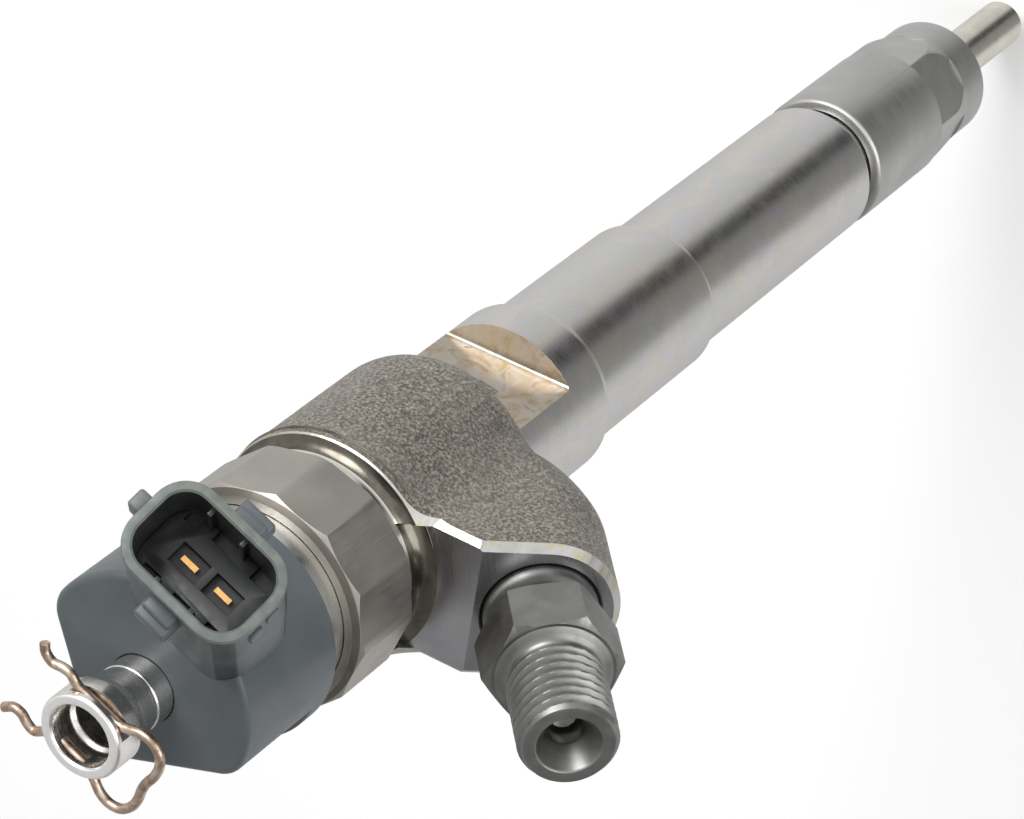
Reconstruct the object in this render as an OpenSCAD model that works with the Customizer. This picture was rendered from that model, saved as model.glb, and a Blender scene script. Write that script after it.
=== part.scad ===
// Common-rail diesel injector with side inlet, solenoid valve and clipped return port.
// The main axis is Z. The origin is the centre of the nozzle nut's lower face, where the
// injector seats in the cylinder head; the nozzle points down and the solenoid is on top.
// The high-pressure inlet leans out towards -X.

/* [Nozzle] */
// Diameter of the nozzle shank below the nut
shank_d = 7; // [6.6:0.1:7.1]
// Length of the nozzle shank below the nut
shank_len = 23.5; // [20:0.5:28]
// Diameter of the nozzle collar inside the nut
collar_d = 14.3; // [13.8:0.1:14.4]
// Diameter of the needle's guide
needle_d = 4; // [3.6:0.1:4.2]
// Number of spray holes
spray_holes = 7; // [5:1:10]
// Radial clearance of the needle, piston and armature pin in their guides
guide_gap = 0.02; // [0.01:0.005:0.04]

/* [Nozzle nut] */
// Diameter of the lower end of the nozzle nut
nut_low_d = 17.6; // [17.2:0.1:18]
// Diameter of the upper part of the nozzle nut
nut_d = 19.5; // [19.2:0.1:20]
// Length of the nozzle nut
nut_len = 35.7; // [34.5:0.1:36]
// Size across flats of the nozzle nut's hexagon
nut_af = 17; // [16.6:0.1:17.4]

/* [Body] */
// Diameter of the lower barrel
barrel_d = 19.3; // [19:0.1:19.8]
// Diameter of the middle barrel
mid_d = 21.1; // [20.6:0.1:21.6]
// Diameter of the upper barrel, at the clamp flats
upper_d = 23.7; // [23:0.1:24.2]
// Size across the two clamp flats
clamp_af = 15; // [14.4:0.1:16]
// Height of the shoulder below the clamp flats
clamp_z = 121.2; // [119:0.2:123]
// Height of the forged head's lower end
head_z = 133.3; // [132:0.1:134]
// Height of the forged head's machined top face
head_top = 161; // [160.6:0.1:161.4]
// Height of the milled face on top of the inlet boss
boss_top = 159.7; // [159:0.1:160.4]
// Diameter of the forged head
head_d = 30; // [29.6:0.1:31]

/* [Inlet] */
// Angle of the inlet axis above the horizontal
inlet_el = 50.9; // [49:0.1:52]
// Height at which the inlet axis meets the main axis
inlet_z = 121.9; // [121:0.1:123]
// Distance along the inlet axis to the boss face
boss_s = 42.1; // [41.5:0.1:42.6]
// Radius of the boss around the inlet axis
boss_r = 9.6; // [9:0.1:10]
// Size across flats of the inlet fitting's hexagon
inlet_af = 14.6; // [14:0.1:15]
// Major diameter of the inlet thread, M12
inlet_thread_d = 11.85; // [11.6:0.05:12]
// Length of the inlet thread
inlet_thread_len = 11.6; // [10:0.1:13]

/* [Solenoid] */
// Size across flats of the union nut's twelve facets
union_af = 29; // [28.8:0.1:29.6]
// Lower end of the union nut
union_z = 164.5; // [164:0.1:165]
// Upper face of the union nut
union_top = 175.6; // [175:0.1:176]
// Diameter of the solenoid sleeve
sleeve_d = 25; // [24.8:0.05:25.1]
// Travel of the armature
armature_lift = 0.06; // [0.04:0.01:0.08]

/* [Connector cap] */
// Diameter of the plastic cap
cap_d = 28.7; // [28:0.1:29.4]
// Height of the cap's rear rim
cap_z = 179.7; // [179:0.1:180.5]
// Height of the cap's top face
cap_top = 197.5; // [196.5:0.1:198.5]
// Distance from the axis to the two flats on the cap
cap_flat = 10.05; // [9.6:0.05:10.6]
// Direction of the electrical plug around the main axis
plug_az = -113; // [-125:1:-100]
// Angle of the plug axis above the horizontal
plug_el = 37; // [35:0.5:39]
// Distance from the main axis to the centre of the plug's rim
plug_r = 32; // [30:0.2:33]
// Height of the centre of the plug's rim
plug_z = 208; // [206:0.2:209]
// Outer width of the plug shroud
plug_w = 17.4; // [17:0.1:18]
// Outer height of the plug shroud
plug_h = 12; // [11.6:0.1:12.4]
// Wall of the plug shroud
plug_wall = 1.1; // [0.9:0.05:1.3]
// Distance between the two terminals
terminal_pitch = 5; // [4.6:0.1:5.4]

/* [Return port] */
// Diameter of the return tube
port_d = 8.5; // [8.2:0.1:8.8]
// Diameter of the ring at the mouth of the return port
port_ring_d = 10.75; // [10.6:0.05:11]
// Bore at the mouth of the return port
port_mouth_d = 7.8; // [7.6:0.05:8]
// Bore below the mouth, where the return line's plug seals
port_bore_d = 6.8; // [6.4:0.05:6.9]
// Height of the mouth of the return port
port_top = 209.4; // [209:0.1:210]
// Direction in which the wire clip pulls out, around the main axis
clip_az = 157; // [150:1:165]
// Diameter of the clip's wire
clip_wire_d = 1.2; // [1:0.05:1.3]

/* [Hidden] */
$fn = 64;

forging = [0.45, 0.43, 0.41];
ground_steel = [0.62, 0.61, 0.60];
satin_steel = [0.50, 0.49, 0.47];
dark_steel = [0.38, 0.38, 0.36];
bright_steel = [0.78, 0.76, 0.70];
brown_steel = [0.55, 0.50, 0.42];
black_plastic = [0.30, 0.33, 0.35];
copper = [0.80, 0.45, 0.18];
bronze = [0.66, 0.53, 0.42];

eps = 0.01;                        // overlap that keeps cuts clean
slip = 0.05;                       // radial gap between assembled parts

// Stations of the nozzle, along Z
collar_z = 5;                      // nozzle collar rests on the nut's inner shoulder
joint_z = 24;                      // nozzle top face against the body
tip_z = -shank_len - 3.1;          // lowest point of the nozzle
needle_top = 27;
seat_top = 29.2;                   // spring seat's upper face
spring_top = 57;
shim_top = 58.5;                   // roof of the spring chamber
chamber_r = 4.2;
stem_r = 1.4;                      // needle stem
hp_x = -6.6;                       // high-pressure channel, from the main axis
hp_r = 1.2;

// Stations of the control valve
valve_z = 127;                     // lower end of the valve body's stem
valve_shoulder = 143;
valve_top = 149;
guide_top = 151.5;                 // armature guide's flange
valve_nut_top = 158;
plate_z = 165.8;
plate_top = 168.4;
core_z = plate_top + armature_lift + 0.09;    // lower face of the magnet core
body_top = 168.5;
flange_top = 171.5;                // union nut's inner shoulder
core_top = 180;
sleeve_top = 184;
piston_r = 2.15;
pin_r = 1.48;                      // armature pin
ball_r = 0.675;
ball_z = 149.39;
top_bore_r = 9.05;

// Stations of the return port
port_neck = 203.6;                 // the tube widens towards the ring
ring_z = 205;
clip_z = 207.8;
slot_x = 3.45;                     // inner wall of the clip slots
cavity_depth = 15;                 // plug socket
blade_tip = 9.7;                   // terminals end this far below the rim

// Places children on the inlet axis, s from the main axis; local X points up along the boss face
module on_inlet(s) {
    translate([-s * cos(inlet_el), 0, inlet_z + s * sin(inlet_el)])
        rotate([0, inlet_el - 90, 0]) children();
}

// Places children on the plug axis at the rim; local X points down, Y across
module on_plug(depth = 0) {
    rotate([0, 0, plug_az]) translate([plug_r, 0, plug_z]) rotate([0, 90 - plug_el, 0])
        translate([0, 0, -depth]) children();
}

module tube(z0, z1, r_out, r_in) {
    translate([0, 0, z0]) difference() {
        cylinder(h = z1 - z0, r = r_out);
        translate([0, 0, -eps]) cylinder(h = z1 - z0 + 2 * eps, r = r_in);
    }
}

module rod(z0, z1, r) {
    translate([0, 0, z0]) cylinder(h = z1 - z0, r = r);
}

module drill(from, to, r) {
    v = to - from;
    translate(from) rotate([0, acos(v.z / norm(v)), atan2(v.y, v.x)]) cylinder(h = norm(v), r = r);
}

module rounded_rectangle(w, h, r) {
    square([w - 2 * r, h], center = true);
    square([w, h - 2 * r], center = true);
    for (x = [-1, 1], y = [-1, 1]) translate([x * (w / 2 - r), y * (h / 2 - r)]) circle(r);
}

// Closed polyhedron that sweeps a round section of radius r along the points p.
// The section's first direction is worked out from the plane normal up.
module swept_wire(p, r, sides, up = [0, 0, 1]) {
    n = len(p);
    function dir(i) = let(d = p[min(i + 1, n - 1)] - p[max(i - 1, 0)]) d / norm(d);
    function side(i) = let(c = cross(up, dir(i))) c / norm(c);
    rings = [for (i = [0 : n - 1]) for (k = [0 : sides - 1])
        p[i] + r * (cos(360 * k / sides) * side(i) + sin(360 * k / sides) * cross(dir(i), side(i)))];
    walls = [for (i = [0 : n - 2]) for (k = [0 : sides - 1])
        [i * sides + k, i * sides + (k + 1) % sides, (i + 1) * sides + (k + 1) % sides,
         (i + 1) * sides + k]];
    caps = [[for (k = [sides - 1 : -1 : 0]) k], [for (k = [0 : sides - 1]) (n - 1) * sides + k]];
    polyhedron(rings, concat(walls, caps), convexity = 10);
}

// Compression spring with one closed turn at each end
module coil_spring(z0, z1, r_mean, r_wire, turns, sides = 8, steps = 14) {
    closed = 2.1 * r_wire;
    pitch = (z1 - z0 - 2 * r_wire - 2 * closed) / turns;
    total = turns + 2;
    function rise(t) = t < 1 ? closed * t
        : t > total - 1 ? 2 * closed + pitch * turns - closed * (total - t)
        : closed + (t - 1) * pitch;
    n = round(total * steps);
    swept_wire([for (i = [0 : n]) let(t = total * i / n)
        [r_mean * cos(360 * t), r_mean * sin(360 * t), z0 + r_wire + rise(t)]], r_wire, sides);
}

// Smooth curve through the control points, n steps for each span
function spline(c, n) = let(m = len(c) - 1) concat([for (i = [0 : m - 1]) for (j = [0 : n - 1])
    let(t = j / n, a = c[max(i - 1, 0)], b = c[i], d = c[i + 1], e = c[min(i + 2, m)])
    0.5 * (2 * b + (d - a) * t + (2 * a - 5 * b + 4 * d - e) * t * t
        + (3 * b - a - 3 * d + e) * t * t * t)], [c[m]]);

// ---------------------------------------------------------------- body

module barrel_profile() {
    polygon([[0, joint_z], [8.2, joint_z], [8.2, 34.5], [8.05, 35], [8.05, 37.6],
             [barrel_d / 2, 38.7], [barrel_d / 2, 84], [mid_d / 2, 84.4], [mid_d / 2, 112.8],
             [upper_d / 2, 114.4], [upper_d / 2, head_z + 6], [0, head_z + 6]]);
}

module head_profile(corner = 6) {
    translate([0, head_z]) square([head_d / 2 - corner, head_top - head_z]);
    translate([0, head_z + corner]) square([head_d / 2, head_top - head_z - corner]);
    translate([head_d / 2 - corner, head_z + corner]) circle(corner);
}

module spigot_profile() {
    polygon([[0, boss_top - 1], [13, boss_top - 1], [13, union_z - 1], [13.45, union_z - 0.5],
             [13.45, body_top - 0.3], [13.15, body_top], [0, body_top]]);
}

module boss_outline() {
    circle(boss_r);
    translate([0, -boss_r]) square([boss_r + 3, 2 * boss_r]);
}

// Boss with a lower end that narrows in steps of a cone
module inlet_boss(start = 18) {
    intersection() {
        on_inlet(start) linear_extrude(boss_s - start) boss_outline();
        on_inlet(start) rotate_extrude() polygon([[0, -1], [4.5, 0], [7.2, 1.6], [9, 5],
            [10.4, 8.5], [30, 11], [30, 45], [0, 45]]);
    }
}

// The head and the boss, with the boss milled flat up to the neck
module forged_head() {
    difference() {
        union() {
            rotate_extrude() head_profile();
            inlet_boss();
        }
        translate([-40, -15, head_top]) cube([80, 30, 30]);
        translate([-40, -boss_r, boss_top]) cube([40, 2 * boss_r, 30]);
    }
}

module clamp_flats() {
    for (side = [0, 180]) rotate([0, 0, side])
        translate([-20, clamp_af / 2, clamp_z]) cube([40, 10, head_z + 0.8 - clamp_z]);
}

module injector_body() {
    color(forging) difference() {
        union() {
            difference() {
                rotate_extrude() barrel_profile();
                clamp_flats();
            }
            forged_head();
            rotate_extrude() spigot_profile();
        }
        // Bores on the main axis
        rod(joint_z - 1, shim_top, chamber_r);
        rod(shim_top - 1, valve_z, 2.3);
        rod(valve_z - 1, valve_shoulder, 4.6);
        rod(valve_shoulder - 1.4, valve_shoulder, 6);
        rod(valve_shoulder - eps, body_top + 1, top_bore_r);
        rod(body_top - 1, body_top + 1, 10.9);
        tube(body_top - 1.5, body_top + 1, 12.9, 11.4);
        // High-pressure channel, inlet drilling and cross drilling to the valve
        drill([hp_x, 0, joint_z - 1], [hp_x, 0, 130], hp_r);
        on_inlet(9.6) rod(0, 22, hp_r);
        on_inlet(30) rod(0, 13, 6.05);
        on_inlet(boss_s - 1.6) rod(0, 3, 7.1);
        drill([-11.4, 0, 136], [-4, 0, 136], 0.9);
        // Leak-off channel from the spring chamber to the valve
        drill([3.6, 0, 53], [7.3, 0, valve_shoulder + 0.5], 0.8);
        // Dowel holes
        for (a = [60, -60]) rotate([0, 0, a]) translate([5.9, 0, joint_z - 1])
            cylinder(h = 3.6, r = 0.8);
    }
}

module inlet_fitting() {
    hex_z = boss_s + 3.8;
    hex_len = 7.8;
    thread_z = hex_z + hex_len + 1.4;
    end_z = thread_z + inlet_thread_len;
    color(dark_steel) on_inlet(0) difference() {
        union() {
            rod(31, boss_s - 1.6, 6);
            rod(boss_s - 1.6, hex_z + 0.5, 7);
            intersection() {
                translate([0, 0, hex_z]) rotate([0, 0, 10.7])
                    cylinder(h = hex_len, r = inlet_af / 2 / cos(30), $fn = 6);
                rotate_extrude() polygon([[0, hex_z], [7.6, hex_z], [8.6, hex_z + 0.7],
                    [8.6, hex_z + hex_len - 0.8], [7.3, hex_z + hex_len], [0, hex_z + hex_len]]);
            }
            rod(hex_z + hex_len - 0.5, thread_z + 0.5, 5.2);
            rotate_extrude() polygon([[0, thread_z], [5.3, thread_z],
                [inlet_thread_d / 2, thread_z + 0.6], [inlet_thread_d / 2, end_z - 0.5],
                [5.55, end_z], [0, end_z]]);
        }
        rod(30, 37, 1.2);
        rod(36, end_z + 1, 2.1);
        translate([0, 0, end_z - 2.9]) cylinder(h = 2.9 + eps, r1 = 2.1, r2 = 3.78);
    }
}

module edge_filter() {
    color(bright_steel) on_inlet(0) difference() {
        union() {
            rod(37.2, 60.5, 1.5);
            for (s = [38, 44, 50, 56]) rod(s, s + 3.2, 2.05);
            rod(60.5, 61.5, 1.5);
        }
        for (k = [0 : 3]) rotate([0, 0, 90 * k + 45]) translate([2.05, 0, 37])
            cylinder(h = 25, r = 0.6);
    }
}

// ---------------------------------------------------------------- nozzle

module nozzle_nut() {
    hex_z = 6.6;
    hex_top = 16.3;
    color(satin_steel) difference() {
        union() {
            rotate_extrude() polygon([[0, 0], [nut_low_d / 2 - 0.6, 0], [nut_low_d / 2, 0.6],
                [nut_low_d / 2, hex_z + eps], [0, hex_z + eps]]);
            intersection() {
                translate([0, 0, hex_z]) rotate([0, 0, 13.6])
                    cylinder(h = hex_top - hex_z + eps, r = nut_af / 2 / cos(30), $fn = 6);
                rotate_extrude() polygon([[0, hex_z], [nut_low_d / 2, hex_z],
                    [nut_d / 2, hex_z + 3.8], [nut_d / 2, hex_top + 1], [0, hex_top + 1]]);
            }
            rotate_extrude() polygon([[0, hex_top], [nut_d / 2, hex_top],
                [nut_d / 2, nut_len - 0.4], [nut_d / 2 - 0.4, nut_len], [0, nut_len]]);
        }
        rod(-1, collar_z + 1, shank_d / 2 + 0.1);
        rod(collar_z, joint_z + 0.5, collar_d / 2 + slip);
        rod(joint_z, nut_len + 1, 8.25);
    }
}

module nozzle_body() {
    seat_z = -shank_len - 0.6;
    shank_end = -0.4;                  // the ground shank stops just below the nut
    relief_r = shank_d / 2 - 0.3;
    color(ground_steel) difference() {
        rotate_extrude() polygon([[0, tip_z], [0.55, tip_z + 0.1], [1, tip_z + 0.45],
            [1.25, tip_z + 1], [shank_d / 2 - 0.3, -shank_len],
            [shank_d / 2, -shank_len + 0.3], [shank_d / 2, shank_end],
            [relief_r, shank_end + 0.2], [relief_r, collar_z], [collar_d / 2, collar_z],
            [collar_d / 2, joint_z - 0.2], [collar_d / 2 - 0.2, joint_z], [0, joint_z]]);
        // Needle guide, pressure chamber, stem passage, seat and sac, in one outline
        rotate_extrude() polygon([[0, tip_z + 0.9], [0.45, tip_z + 0.9], [0.45, seat_z - 1.2],
            [stem_r + 0.35, seat_z], [stem_r + 0.35, 8], [3.1, 8.8], [3.1, 10.2],
            [needle_d / 2, 11], [needle_d / 2, joint_z + 1], [0, joint_z + 1]]);
        drill([-6.6, 0, joint_z + 0.5], [-2.8, 0, 9.6], 0.8);
        for (k = [0 : spray_holes - 1]) rotate([0, 0, 360 * k / spray_holes])
            translate([0, 0, tip_z + 1.25]) rotate([0, 105, 0]) translate([0, 0, 0.32])
                cylinder(h = 1.7, r = 0.1);
        for (a = [60, -60]) rotate([0, 0, a]) translate([5.9, 0, joint_z - 2.5])
            cylinder(h = 3.5, r = 0.8);
    }
}

module nozzle_dowels() {
    color(bright_steel) for (a = [60, -60]) rotate([0, 0, a])
        translate([5.9, 0, joint_z - 2.4]) cylinder(h = 4.8, r = 0.77);
}

module nozzle_needle() {
    seat_z = -shank_len - 0.55;
    color(bright_steel) {
        rotate_extrude() polygon([[0, seat_z - 0.85], [stem_r, seat_z], [stem_r, 10.2],
            [needle_d / 2 - guide_gap, 11.6], [needle_d / 2 - guide_gap, joint_z - 0.4],
            [1.2, joint_z - 0.4], [1.2, needle_top], [0, needle_top]]);
    }
}

module spring_seat() {
    color(bright_steel) difference() {
        union() {
            rod(joint_z + 0.6, needle_top + 0.8, 2.2);
            rod(needle_top + 0.6, seat_top, 3.8);
        }
        rod(joint_z, needle_top, 1.25);
    }
}

module nozzle_spring() {
    color(satin_steel) coil_spring(seat_top, spring_top, 3.15, 0.65, 8);
}

module nozzle_spring_shim() {
    color(bright_steel) tube(spring_top, shim_top, 3.9, 2.35);
}

module control_piston() {
    color(ground_steel) {
        rotate_extrude() polygon([[0, seat_top], [1.7, seat_top], [1.7, 118],
            [piston_r, 119], [piston_r, 145.4], [piston_r - 0.3, 145.7], [0, 145.7]]);
    }
}

// ---------------------------------------------------------------- control valve

module valve_body() {
    color(ground_steel) difference() {
        union() {
            rod(valve_z + 0.3, valve_shoulder, 4.55);
            rod(valve_shoulder, valve_top, 8.5);
        }
        rod(valve_z, 146, piston_r + guide_gap);
        rod(145.9, valve_top - 0.4, 0.15);
        translate([0, 0, valve_top - 0.41]) cylinder(h = 0.45, r1 = 0.15, r2 = 0.65);
        tube(135, 137, 5, 4.1);
        drill([-5, 0, 136], [-2, 0, 145.4], 0.3);
        translate([7.3, 0, valve_shoulder - 1]) cylinder(h = 8, r = 0.9);
    }
}

module valve_seal_ring() {
    color(bright_steel) tube(valve_shoulder - 1.35, valve_shoulder, 5.95, 4.65);
}

module valve_nut() {
    color(satin_steel) difference() {
        tube(guide_top, valve_nut_top, top_bore_r - slip, 5.5);
        translate([-10, -1.25, valve_nut_top - 2]) cube([20, 2.5, 3]);
    }
}

module valve_ball() {
    color(bright_steel) translate([0, 0, ball_z]) sphere(r = ball_r);
}

module ball_holder() {
    color(ground_steel) difference() {
        rod(ball_z + 0.15, guide_top - 0.3, 1.35);
        translate([0, 0, ball_z]) sphere(r = ball_r + 0.01);
    }
}

module armature_guide() {
    color(bright_steel) difference() {
        union() {
            rod(valve_top, guide_top, 8.5);
            rod(guide_top - eps, plate_z - 1.2, 3.1);
        }
        rod(valve_top - 1, plate_z, pin_r + guide_gap);
        rod(valve_top - 1, guide_top - 0.2, 1.6);
        for (k = [0 : 2]) rotate([0, 0, 120 * k]) translate([6.6, 0, valve_top - 1])
            cylinder(h = 4, r = 0.8);
    }
}

module armature_pin() {
    color(bright_steel) rotate_extrude() polygon([[0, guide_top - 0.3], [pin_r, guide_top - 0.3],
        [pin_r, plate_top], [1.1, plate_top], [1.1, plate_top + 0.85], [pin_r, plate_top + 0.85],
        [pin_r, 170.9], [0, 170.9]]);
}

module armature_plate() {
    color(satin_steel) difference() {
        tube(plate_z, plate_top, 8.3, pin_r + 0.04);
        for (k = [0 : 3]) rotate([0, 0, 90 * k]) translate([4.2, -0.7, plate_z - 1])
            cube([6, 1.4, 5]);
    }
}

module lock_washer() {
    color(bright_steel) difference() {
        tube(plate_top, plate_top + 0.8, 2.8, 1.15);
        translate([0, -1.1, plate_top - 1]) cube([5, 2.2, 3]);
    }
}

module overtravel_spring() {
    color(satin_steel) coil_spring(guide_top, plate_z, 4.2, 0.35, 4, 6, 12);
}

module lift_shim() {
    color(bright_steel) tube(body_top - 1, body_top, 10.8, 9.3);
}

// ---------------------------------------------------------------- solenoid

module solenoid_spring() {
    color(satin_steel) coil_spring(plate_top + 0.8, 177.5, 2.2, 0.4, 4, 8, 12);
}

module solenoid_spring_shim() {
    color(bright_steel) tube(177.5, 178.5, 3.1, 1.2);
}

module solenoid_sleeve() {
    color(bright_steel) difference() {
        union() {
            rod(body_top, flange_top, 13.35);
            rod(body_top, sleeve_top, sleeve_d / 2);
        }
        rod(body_top - 1, sleeve_top + 1, 10.6);
    }
}

// Two holes or rods beside each other, for the leads between coil and plug
module lead_pair(z0, z1, r) {
    rotate([0, 0, plug_az]) for (y = [-1, 1])
        translate([6.9, y * terminal_pitch / 2, z0]) cylinder(h = z1 - z0, r = r);
}

module magnet_core() {
    color(dark_steel) difference() {
        rod(core_z, core_top, 10.55);
        rod(core_z - 1, 178.5, 3.2);
        rod(178, core_top + 1, 1.5);
        tube(core_z - 1, 176.6, 8.8, 5.1);
        lead_pair(176, core_top + 1, 0.8);
    }
}

module coil_bobbin() {
    color(black_plastic) difference() {
        tube(169.2, 176.5, 8.7, 5.2);
        tube(169.9, 175.8, 9, 5.9);
        lead_pair(175, 177, 0.55);
    }
}

module coil_winding() {
    color(copper) tube(169.95, 175.4, 8.3, 5.95);
}

module solenoid_o_ring() {
    color([0.08, 0.08, 0.08]) rotate_extrude() translate([12.15, body_top - 0.76])
        circle(r = 0.68);
}

module union_nut() {
    color(brown_steel) difference() {
        intersection() {
            translate([0, 0, union_z]) rotate([0, 0, -1.9])
                cylinder(h = union_top - union_z, r = union_af / 2 / cos(15), $fn = 12);
            rotate_extrude() polygon([[0, union_z], [14.7, union_z], [15.1, union_z + 0.4],
                [15.1, union_top - 1.1], [14.06, union_top - 0.3], [13.7, union_top],
                [0, union_top]]);
        }
        rod(union_z - 1, flange_top, 13.5);
        rod(flange_top - eps, union_top + 1, sleeve_d / 2 + 0.1);
    }
}

// ---------------------------------------------------------------- cap, plug and port

module cap_outline() {
    intersection() {
        circle(cap_d / 2);
        for (side = [-1, 1]) rotate(plug_az + 180 + side * 42.7)
            translate([-40 + cap_flat, -30]) square([40, 60]);
        rotate(plug_az + 180) translate([-40 + cap_flat + 2.9, -30]) square([40, 60]);
    }
}

module plug_prism(w, h, corner, from, to) {
    on_plug(from) mirror([0, 0, 1]) linear_extrude(to - from) rounded_rectangle(h, w, corner);
}

module connector_cap() {
    color(black_plastic) difference() {
        union() {
            rod(cap_z, cap_z + 2.6, cap_d / 2);
            translate([0, 0, cap_z + 2.6]) linear_extrude(cap_top - cap_z - 2.6) cap_outline();
            intersection() {
                plug_prism(plug_w, plug_h, 4.2, 0, 34);
                union() {
                    rotate([0, 0, plug_az]) translate([12, -15, cap_z + 2])
                        cube([40, 30, 50]);
                    translate([0, 0, cap_z + 2]) linear_extrude(cap_top - cap_z - 2)
                        cap_outline();
                }
            }
            // Locking tabs on both broad sides and a key on one end
            on_plug(6.5) translate([-plug_h / 2 - 2.6, -2.2, 0]) cube([plug_h + 5.2, 4.4, 3]);
            on_plug(4) translate([-1.1, plug_w / 2 - 0.5, 0]) cube([2.2, 2, 3]);
        }
        plug_prism(plug_w - 2 * plug_wall, plug_h - 2 * plug_wall, 3.2, -1, cavity_depth);
        // Room for the sleeve, the port's flange and the port's tube
        rod(cap_z - 1, 183, sleeve_d / 2 + slip);
        tube(182.9, sleeve_top + 0.05, sleeve_d / 2 + slip, 10.55);
        rod(182, cap_top + 1, port_d / 2 + slip);
        // Channels for the terminals and their leads
        lead_pair(182, 191, 0.45);
        for (y = [-1, 1]) on_plug(31.6) translate([-0.37, y * terminal_pitch / 2 - 1.15, 0])
            cube([0.74, 2.3, 20]);
    }
}

module terminal_pins() {
    color(copper) {
        lead_pair(175.45, 190.4, 0.4);
        for (y = [-1, 1]) on_plug(31.5) translate([-0.32, y * terminal_pitch / 2 - 1.1, 0])
            cube([0.64, 2.2, 31.5 - blade_tip]);
    }
}

module return_port() {
    color(bright_steel) difference() {
        union() {
            rod(core_top, 183, 10.5);
            rod(182, port_neck + eps, port_d / 2);
            rotate_extrude() polygon([[0, port_neck], [port_d / 2 + 0.08, port_neck],
                [port_ring_d / 2, ring_z], [port_ring_d / 2, port_top - 0.2],
                [port_ring_d / 2 - 0.2, port_top], [0, port_top]]);
        }
        rod(core_top - 1, 191, 1.5);
        rod(190, port_top, port_bore_d / 2);
        rod(205.8, port_top + 1, port_mouth_d / 2);
        // Slots for the wire clip, cut across both sides of the ring
        rotate([0, 0, clip_az]) for (side = [0, 1]) mirror([0, side, 0])
            translate([-8, slot_x, clip_z - clip_wire_d / 2 - 0.15])
                cube([16, 5, clip_wire_d + 0.3]);
        lead_pair(core_top - 1, 184, 0.8);
    }
}

// Wire clip in its own plane: X is the direction it pulls out, Y across its two legs.
// Each leg runs straight through the ring's slot and ends in an outward bend.
module port_clip() {
    leg = 4.15;
    near_leg = [[-9.6, 5.5], [-8.9, 4.5], [-7.6, 4.1], [-6.4, 4.6], [-5.2, 4.8], [-4.1, 4.3]];
    far_leg = [[-4, 5], [-5, 6.1], [-6.2, 6], [-7.3, 5.5], [-8.5, 5.7], [-9.5, 6.9]];
    bow = [[3.6, 4.8], [5.2, 5.8], [6.8, 6], [8.2, 5.3], [9, 3.8], [9.1, 2.2], [8.9, 1]];
    route = concat(near_leg, [[-3, leg], [0, leg], [2.3, leg]], bow, [[8.8, 0]],
        [for (i = [len(bow) - 1 : -1 : 0]) [bow[i].x, -bow[i].y]],
        [[2.3, -leg], [0, -leg], [-2.8, -leg]],
        [for (q = far_leg) [q.x, -q.y]]);
    color(bronze) rotate([0, 0, clip_az]) translate([0, 0, clip_z])
        swept_wire([for (q = spline(route, 3)) [q.x, q.y, 0]], clip_wire_d / 2, 10);
}

injector_body();
inlet_fitting();
edge_filter();
nozzle_nut();
nozzle_body();
nozzle_dowels();
nozzle_needle();
spring_seat();
nozzle_spring();
nozzle_spring_shim();
control_piston();
valve_body();
valve_seal_ring();
valve_nut();
valve_ball();
ball_holder();
armature_guide();
armature_pin();
armature_plate();
lock_washer();
overtravel_spring();
lift_shim();
solenoid_spring();
solenoid_spring_shim();
solenoid_sleeve();
magnet_core();
coil_bobbin();
coil_winding();
solenoid_o_ring();
union_nut();
connector_cap();
terminal_pins();
return_port();
port_clip();
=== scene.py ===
"""Looks of a common-rail fuel injector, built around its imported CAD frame.

Profiles are in millimetres in the frame's axes; place() turns them into metres.
"""
import math

import bpy
import numpy as np
from mathutils import Matrix, Vector


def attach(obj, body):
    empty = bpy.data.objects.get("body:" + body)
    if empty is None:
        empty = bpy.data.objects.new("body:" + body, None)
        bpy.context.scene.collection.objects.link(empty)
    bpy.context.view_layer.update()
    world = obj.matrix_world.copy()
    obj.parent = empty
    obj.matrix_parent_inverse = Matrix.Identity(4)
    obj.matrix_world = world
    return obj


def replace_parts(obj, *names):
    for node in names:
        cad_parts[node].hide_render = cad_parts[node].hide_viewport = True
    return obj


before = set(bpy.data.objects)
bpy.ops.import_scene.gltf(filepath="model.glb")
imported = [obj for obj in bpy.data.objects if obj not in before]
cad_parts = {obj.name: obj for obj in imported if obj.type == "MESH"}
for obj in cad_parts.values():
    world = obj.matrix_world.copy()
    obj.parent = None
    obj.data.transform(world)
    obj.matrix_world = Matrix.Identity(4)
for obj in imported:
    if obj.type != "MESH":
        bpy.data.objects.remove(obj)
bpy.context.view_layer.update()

MM = 0.001

# Inlet axis
INLET_EL = math.radians(50.9)
INLET_Z = 121.9
BOSS_S = 42.1
BOSS_R = 9.6
BOSS_ROOT_R, BLEND_FROM, BLEND_LENGTH = 8, 19, 11
# Electrical plug
PLUG_AZ = math.radians(-113)
PLUG_EL = math.radians(37)
PLUG_R, PLUG_Z = 32, 208
PLUG_W, PLUG_H = 17.4, 12
PLUG_CORNER, PLUG_WALL = 4.2, 1.1
# Head of the forging
HEAD_Z, HEAD_R = 133.3, 15
HEAD_CORNER, CORE_R = 6, 6.0
RING_TOP, BOSS_TOP, STRIP_HALF = 160.9, 159.7, 8.9
# Solenoid nut
UNION_Z, UNION_TOP, UNION_R, FLANGE_Z = 164.5, 175.6, 15.1, 171.5
# Return port and its clip
PORT_R, PORT_RING_R, PORT_TOP = 4.25, 5.375, 209.4
CLIP_AZ = math.radians(157)
CLIP_Z = 207.8
# Barrel
CLAMP_Z, CLAMP_HALF = 121.2, 7.5


# ---------------------------------------------------------------- frames

def turn_y(angle):
    return Matrix.Rotation(angle, 4, "Y")


def turn_z(angle):
    return Matrix.Rotation(angle, 4, "Z")


def shift(x, y, z):
    return Matrix.Translation(Vector((x, y, z)))


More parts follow.
